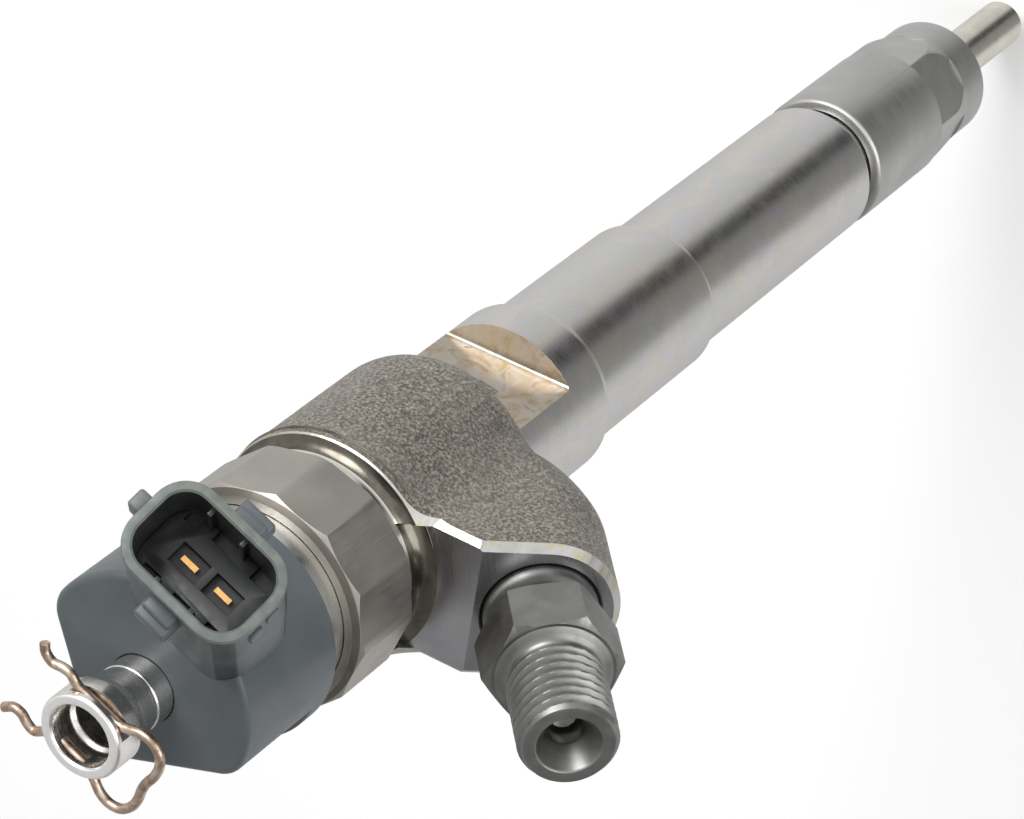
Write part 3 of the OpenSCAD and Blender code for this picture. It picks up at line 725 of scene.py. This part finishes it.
def thread_radius(s, turn):
    """Radius of the M12 x 1.5 thread at s along the axis and turn in full turns."""
    phase = (s / 1.5 - turn) % 1.0
    crest = 0.18
    wave = np.clip((np.abs(phase - 0.5) - crest / 2) / (0.5 - crest / 2 - 0.1), 0, 1)
    fade = np.clip((s - THREAD_S) / 1.2, 0, 1)
    depth = 0.78 * wave * fade
    limit = np.minimum(5.3 + (s - THREAD_S) * 1.05, 5.925)
    limit = np.minimum(limit, 5.35 + (MOUTH_S - s) * 0.75)
    return np.minimum(5.925 - depth, limit)


def inlet_thread(steps=120):
    angle = np.linspace(0, 2 * math.pi, steps, endpoint=False)
    rings = []
    for s in np.arange(THREAD_S, MOUTH_S + 0.001, 0.08):
        r = thread_radius(s, angle / (2 * math.pi))
        rings.append([(q * math.cos(a), q * math.sin(a), s) for q, a in zip(r, angle)])
    inside = rounded([
        (5.3, MOUTH_S + 0.06), (5, MOUTH_S + 0.1, 0.2), (3.95, MOUTH_S + 0.1, 0.1),
        (3.76, MOUTH_S - 0.1, 0.1), (2.12, MOUTH_S - 2.9, 0.1), (2.12, 50)], 0.1)
    for r, s in inside:
        rings.append([(r * math.cos(a), r * math.sin(a), s) for a in angle])
    rings.append([(4.8 * math.cos(a), 4.8 * math.sin(a), THREAD_S) for a in angle])
    obj = loft("inlet_thread", rings + [rings[0]], caps=(False, False))
    return place(paint(obj, LOOKS["fitting"]), matrix=ON_INLET, sharp=40)


# ---------------------------------------------------------------- connector cap

CAP_R, CAP_Z, CAP_TOP, CAP_FLAT, CAP_CORNER = 14.35, 179.7, 197.5, 10.05, 4.2


def cap_ring(rounding, inset=0.0, steps=240):
    """Outline of the cap: a circle cut by three flats, its corners rounded, then shrunk by inset."""
    a = np.linspace(0, 2 * math.pi, 1440, endpoint=False)
    reach = np.full(a.shape, CAP_R - rounding)
    for side, far in ((-42.7, CAP_FLAT), (42.7, CAP_FLAT), (0, CAP_FLAT + 2.9)):
        facing = PLUG_AZ + math.pi + math.radians(side)
        c = np.cos(a - facing)
        reach = np.where(c > 1e-3, np.minimum(reach, (far - rounding) / np.maximum(c, 1e-3)), reach)
    core = np.stack([reach * np.cos(a), reach * np.sin(a)], axis=1)
    out = []
    for k in range(steps):
        n = np.array([math.cos(2 * math.pi * k / steps), math.sin(2 * math.pi * k / steps)])
        out.append(core[np.argmax(core @ n)] + n * (rounding - inset))
    return out


def circle_ring(r, steps=240):
    return [(r * math.cos(a), r * math.sin(a)) for a in (2 * math.pi * k / steps for k in range(steps))]


def cap_shell():
    """Cap body: round rear rim, then the flatted part with a rounded top edge."""
    rings = [(circle_ring(12.6), 183), (circle_ring(12.6), CAP_Z), (circle_ring(14.1), CAP_Z),
             (circle_ring(CAP_R), CAP_Z + 0.25), (circle_ring(CAP_R), CAP_Z + 2.5),
             (cap_ring(CAP_CORNER), CAP_Z + 2.9)]
    edge = 0.9
    for k in range(7):
        a = math.pi / 2 * k / 6
        rings.append((cap_ring(CAP_CORNER, edge * (1 - math.cos(a))), CAP_TOP - edge * (1 - math.sin(a))))
    rings.append((circle_ring(4.4), CAP_TOP))
    rings.append((circle_ring(4.3), CAP_TOP - 0.2))
    rings.append((circle_ring(4.3), 183))
    rows = [[(x, y, z) for x, y in ring] for ring, z in rings]
    obj = loft("cap_shell", rows + [rows[0]], caps=(False, False))
    return place(paint(obj, LOOKS["cap"]), sharp=30)


def shroud():
    """Plug shroud: an outer wall down into the cap, a rounded lip, the inner wall and its floor."""
    def ring(grow, depth):
        outline = rounded_box_outline(PLUG_H + grow, PLUG_W + grow, PLUG_CORNER + grow / 2, 10)
        return [(x, y, -depth) for x, y in outline]
    wall = PLUG_WALL
    rows = [ring(-0.6, 26), ring(0, 12), ring(0, 1.2), ring(0.25, 1.0), ring(0.25, 0.3), ring(0.05, 0.05),
            ring(-0.3, 0), ring(-2 * wall + 0.5, 0), ring(-2 * wall, 0.25), ring(-2 * wall, 10.6)]
    obj = loft("plug_shroud", rows)
    paint(obj, LOOKS["cap"], LOOKS["rim"], LOOKS["socket"])
    for p in obj.data.polygons:
        depth = -p.center.z
        # Faces deep inside the plug take the near-black plastic in slot 2: painted shade in the recess.
        inside = max(abs(p.center.x) - PLUG_H / 2, abs(p.center.y) - PLUG_W / 2) < -0.6
        if depth < 1.15:
            p.material_index = 1
        elif inside and depth > 2.5:
            p.material_index = 2
    return place(obj, matrix=ON_PLUG, sharp=35)


def slab(name, low, high, look, soft=0.25, matrix=ON_PLUG):
    """Small moulded block with rounded edges."""
    obj = paint(block(name, low, high), look)
    bevel(obj, soft, angle=40, segments=3)
    return place(obj, matrix=matrix, sharp=50)


def plug_details():
    """Locking tabs, key, latch ribs, the insert round the terminals, and ribs along the walls."""
    half = PLUG_H / 2
    for side, name in ((1, "tab_front"), (-1, "tab_back")):
        x0, x1 = sorted((side * (half - 0.4), side * (half + 2.6)))
        slab(name, (x0, -2.2, -6.4), (x1, 2.2, -3.6), LOOKS["cap"], soft=0.35)
        x0, x1 = sorted((side * (half - 0.4), side * (half + 1.6)))
        slab(name + "_lead", (x0, -2, -3.8), (x1, 2, -2.6), LOOKS["cap"], soft=0.4)
    slab("key", (-1.2, PLUG_W / 2 - 0.4, -4.2), (1.2, PLUG_W / 2 + 1.7, -0.4), LOOKS["rim"], soft=0.4)
    for k, y in enumerate((-8.95, -8.8)):
        slab(f"latch_rib_{k}", (-2.2 + 2.6 * k, y - 0.15, -5.5 + 1.2 * k),
             (-0.4 + 2.6 * k, y + 0.6, -3 + 0.6 * k), LOOKS["cap"], soft=0.2)
    plug_insert()
    # Ribs on the inner walls take the near-black plastic: painted shade deep in the plug.
    for k, (x, y) in enumerate(((-4.7, -2.4), (-4.7, 2.6), (4.7, -1.2), (4.7, 3.6))):
        slab(f"wall_rib_{k}", (x - 0.55, y - 0.35, -10), (x + 0.55, y + 0.35, -2.6),
             LOOKS["socket"], soft=0.15)


def plug_insert():
    """Floor of the socket, with a pocket round each terminal and notches along its walls."""
    outline = rounded_box_outline(9.7, 15.1, 3, 8)
    obj = loft("plug_insert", [[(x, y, z) for x, y in outline] for z in (-16, -9.2)])
    # The insert takes the near-black plastic: painted shade deep in the plug.
    paint(obj, LOOKS["socket"])
    pockets = [(-1.35, y - 2.05, 1.35, y + 2.05, -15) for y in (-2.5, 2.5)]
    notches = [(-6, -6, -3.2, -3.4, -14), (-6, -1.2, -3.4, 1.4, -14), (-6, 3.6, -3.2, 6, -14),
               (3.3, -5.8, 6, -3.2, -14), (3.5, 0.2, 6, 2.6, -14), (3, 4.6, 6, 6.4, -14),
               (-1.4, -8, 1.4, -6.4, -14)]
    for x0, y0, x1, y1, floor in pockets + notches:
        combine(obj, paint(block("cut", (x0, y0, floor), (x1, y1, -5)), LOOKS["socket"]), "DIFFERENCE")
    bevel(obj, 0.12, angle=40)
    return place(obj, matrix=ON_PLUG, sharp=40)


# ---------------------------------------------------------------- return port and clip

def return_port():
    """Tube with a grooved neck, and the slotted ring at its mouth."""
    outer = rounded([
        (10.4, 182.9), (PORT_R, 182.95), (PORT_R, 200.2, 0.1), (4.12, 200.3, 0.1), (4.12, 200.8, 0.1),
        (PORT_R, 200.9, 0.1), (PORT_R, 203.4, 0.2), (4.5, 203.8, 0.2), (PORT_RING_R, 205, 0.3),
        (PORT_RING_R, PORT_TOP - 0.35, 0.15), (5.1, PORT_TOP, 0.15), (4.15, PORT_TOP, 0.1),
        (3.9, PORT_TOP - 0.3, 0.1), (3.9, 205.8, 0.2), (3.4, 205.3, 0.2), (3.4, 191, 0.2),
        (1.5, 190.6)], 0.2)
    inner = [(1.5, 180.1), (10.4, 180.1)]
    obj = paint(lathe("return_port", outer + inner, 160, closed=True), LOOKS["port"], LOOKS["port_top_highlight"])
    # The ring's top face takes the near-white look: a painted highlight.
    for p in obj.data.polygons:
        if p.center.z > PORT_TOP - 0.1:
            p.material_index = 1
    tools = []
    for side in (-1, 1):
        y0, y1 = sorted((side * 3.45, side * 8))
        tools.append(block("slot", (-9, y0, CLIP_Z - 0.75), (9, y1, CLIP_Z + 0.75)))
    tool = paint(join(*tools), LOOKS["port"], LOOKS["port_top_highlight"])
    tool.data.transform(turn_z(CLIP_AZ))
    combine(obj, tool, "DIFFERENCE")
    return place(obj)


def spline(points, steps):
    """Smooth curve through the points."""
    out, last = [], len(points) - 1
    for i in range(last):
        a, b, c, d = (Vector(points[max(0, min(last, j))]) for j in (i - 1, i, i + 1, i + 2))
        for j in range(steps):
            t = j / steps
            out.append(0.5 * (2 * b + (c - a) * t + (2 * a - 5 * b + 4 * c - d) * t * t
                              + (3 * b - a - 3 * c + d) * t ** 3))
    return out + [Vector(points[last])]


def port_clip(radius=0.6, sides=20):
    leg = 4.15
    near = [(-9.6, 5.5), (-8.9, 4.5), (-7.6, 4.1), (-6.4, 4.6), (-5.2, 4.8), (-4.1, 4.3)]
    far = [(-4, 5), (-5, 6.1), (-6.2, 6), (-7.3, 5.5), (-8.5, 5.7), (-9.5, 6.9)]
    bow = [(3.6, 4.8), (5.2, 5.8), (6.8, 6), (8.2, 5.3), (9, 3.8), (9.1, 2.2), (8.9, 1)]
    route = (near + [(-3, leg), (0, leg), (2.3, leg)] + bow + [(8.8, 0)] + [(x, -y) for x, y in bow[::-1]]
             + [(2.3, -leg), (0, -leg), (-2.8, -leg)] + [(x, -y) for x, y in far])
    path = spline([(x, y, 0) for x, y in route], 8)
    up, rings = Vector((0, 0, 1)), []
    for i, p in enumerate(path):
        way = (path[min(i + 1, len(path) - 1)] - path[max(i - 1, 0)]).normalized()
        side = up.cross(way)
        for lead, shrink in end_rounding(i, len(path)):
            centre = p + way * lead * radius
            rings.append([centre + radius * shrink * (side * math.cos(t) + up * math.sin(t))
                          for t in (2 * math.pi * k / sides for k in range(sides))])
    obj = loft("port_clip", rings)
    return place(paint(obj, LOOKS["wire"]), body="clip", matrix=ON_CLIP)


def end_rounding(i, count):
    """(shift along the wire, size) of the rings at a point; the two ends get rounded edges."""
    if i == 0:
        return [(0.0, 0.72), (0.12, 0.93), (0.3, 1)]
    if i == count - 1:
        return [(-0.3, 1), (-0.12, 0.93), (0.0, 0.72)]
    return [(0, 1)]


# ---------------------------------------------------------------- CAD nodes that keep their shape

CAD_LOOKS = {
    "edge_filter": "steel", "nozzle_body": "nozzle", "nozzle_dowels": "steel", "nozzle_needle": "steel",
    "spring_seat": "steel", "nozzle_spring": "spring", "nozzle_spring_shim": "steel",
    "control_piston": "steel", "valve_body": "steel", "valve_seal_ring": "steel", "valve_nut": "steel",
    "valve_ball": "steel", "ball_holder": "steel", "armature_guide": "steel", "armature_pin": "steel",
    "armature_plate": "core", "lock_washer": "steel", "overtravel_spring": "spring",
    "lift_shim": "steel", "solenoid_spring": "spring", "solenoid_spring_shim": "steel",
    "solenoid_sleeve": "sleeve", "magnet_core": "core", "coil_bobbin": "socket", "coil_winding": "coil",
    "solenoid_o_ring": "rubber", "terminal_pins": "copper",
}


def dress_cad_nodes():
    for name, look in CAD_LOOKS.items():
        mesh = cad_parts[name].data
        mesh.materials.clear()
        mesh.materials.append(LOOKS[look])
        for p in mesh.polygons:
            p.use_smooth = True
        mesh.set_sharp_from_angle(angle=math.radians(30))


# ---------------------------------------------------------------- studio

def add_floor():
    size, z = 6.0, -0.02665
    mesh = bpy.data.meshes.new("floor")
    corners = [(-size, -size, z), (size, -size, z), (size, size, z), (-size, size, z)]
    mesh.from_pydata(corners, [], [(0, 1, 2, 3)])
    floor = bpy.data.objects.new("floor", mesh)
    bpy.context.scene.collection.objects.link(floor)
    k = Look("floor")
    k.set("Base Color", k.mix(k.noise(300, 2), (0.93, 0.93, 0.93), (0.96, 0.96, 0.96)))
    k.set("Roughness", 0.9)
    k.set("Specular IOR Level", 0.0)
    mesh.materials.append(k.mat)
    floor.visible_glossy = False


def add_world():
    """Soft studio all round: pale, with darker parts low on the camera's side for the metal to reflect."""
    world = bpy.data.worlds.new("studio")
    bpy.context.scene.world = world
    world.use_nodes = True
    tree = world.node_tree
    new, link = tree.nodes.new, tree.links.new
    split = new("ShaderNodeSeparateXYZ")
    link(new("ShaderNodeTexCoord").outputs["Generated"], split.inputs[0])
    turn = new("ShaderNodeMath")
    turn.operation = "ARCTAN2"
    link(split.outputs[1], turn.inputs[0])
    link(split.outputs[0], turn.inputs[1])
    part = new("ShaderNodeMapRange")
    part.inputs["From Min"].default_value = -math.pi
    part.inputs["From Max"].default_value = math.pi
    link(turn.outputs[0], part.inputs["Value"])

    def ramp(stops, source):
        n = new("ShaderNodeValToRGB")
        n.color_ramp.interpolation = "EASE"
        while len(n.color_ramp.elements) < len(stops):
            n.color_ramp.elements.new(0.5)
        for e, (at, level) in zip(n.color_ramp.elements, stops):
            e.position = at
            e.color = (level, level, level, 1)
        link(source, n.inputs["Fac"])
        return n.outputs["Color"]

    def round_the_sky(*levels):
        return ramp([((degrees + 180) / 360, v) for degrees, v in levels], part.outputs[0])

    low = round_the_sky((-180, 0.34), (-140, 0.3), (-122, 0.06), (-108, 0.08), (-88, 0.75),
                        (-30, 0.9), (60, 0.6), (150, 0.85), (168, 0.8), (180, 0.34))
    high = round_the_sky((-180, 0.9), (-90, 1.0), (-20, 0.8), (60, 0.5), (120, 0.35), (150, 0.3),
                         (180, 0.9))
    above = new("ShaderNodeMapRange")
    above.interpolation_type = "SMOOTHSTEP"
    above.inputs["From Min"].default_value = -0.25
    above.inputs["From Max"].default_value = 0.1
    link(split.outputs[2], above.inputs["Value"])
    mix = new("ShaderNodeMix")
    mix.data_type = "RGBA"
    link(above.outputs[0], mix.inputs[0])
    link(low, mix.inputs[6])
    link(high, mix.inputs[7])
    back = tree.nodes["Background"]
    link(mix.outputs[2], back.inputs["Color"])
    back.inputs["Strength"].default_value = 1.0


def add_light(name, where, aim, size, power):
    light = bpy.data.lights.new(name, "AREA")
    light.shape = "DISK"
    light.size = size
    light.energy = power
    obj = bpy.data.objects.new(name, light)
    obj.location = where
    obj.rotation_mode = "QUATERNION"
    obj.rotation_quaternion = (Vector(aim) - Vector(where)).to_track_quat("-Z", "Y")
    bpy.context.scene.collection.objects.link(obj)


def add_camera():
    """The photograph's view: 147 mm lens from above the plug's side, rolled."""
    cam = bpy.data.cameras.new("camera")
    cam.lens = 146.596
    cam.sensor_width = 36
    cam.clip_start, cam.clip_end = 0.01, 50
    obj = bpy.data.objects.new("camera", cam)
    right = Vector((-0.8414, -0.1355, -0.5231)).normalized()
    ahead = Vector((0.3779, 0.5443, -0.7489))
    ahead = (ahead - right * ahead.dot(right)).normalized()
    up = right.cross(ahead)
    turn = Matrix((right, up, -ahead)).transposed().to_4x4()
    obj.matrix_world = shift(-0.199339, -0.285746, 0.513006) @ turn
    bpy.context.scene.collection.objects.link(obj)
    bpy.context.scene.camera = obj


add_camera()
add_floor()
add_world()
add_light("key", (0.4, -1.1, 0.95), (0, 0, 0.12), 0.9, 14)
add_light("fill", (-1.2, -0.4, 0.5), (0, 0, 0.1), 1.0, 6)
bpy.context.scene.view_settings.view_transform = "Standard"

barrel()
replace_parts(forged_head(), "injector_body")
body_neck()
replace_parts(union_nut(), "union_nut")
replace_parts(nozzle_nut(), "nozzle_nut")
inlet_hex()
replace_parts(inlet_stem(), "inlet_fitting")
inlet_thread()
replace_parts(cap_shell(), "connector_cap")
shroud()
plug_details()
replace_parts(return_port(), "return_port")
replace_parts(port_clip(), "port_clip")
dress_cad_nodes()
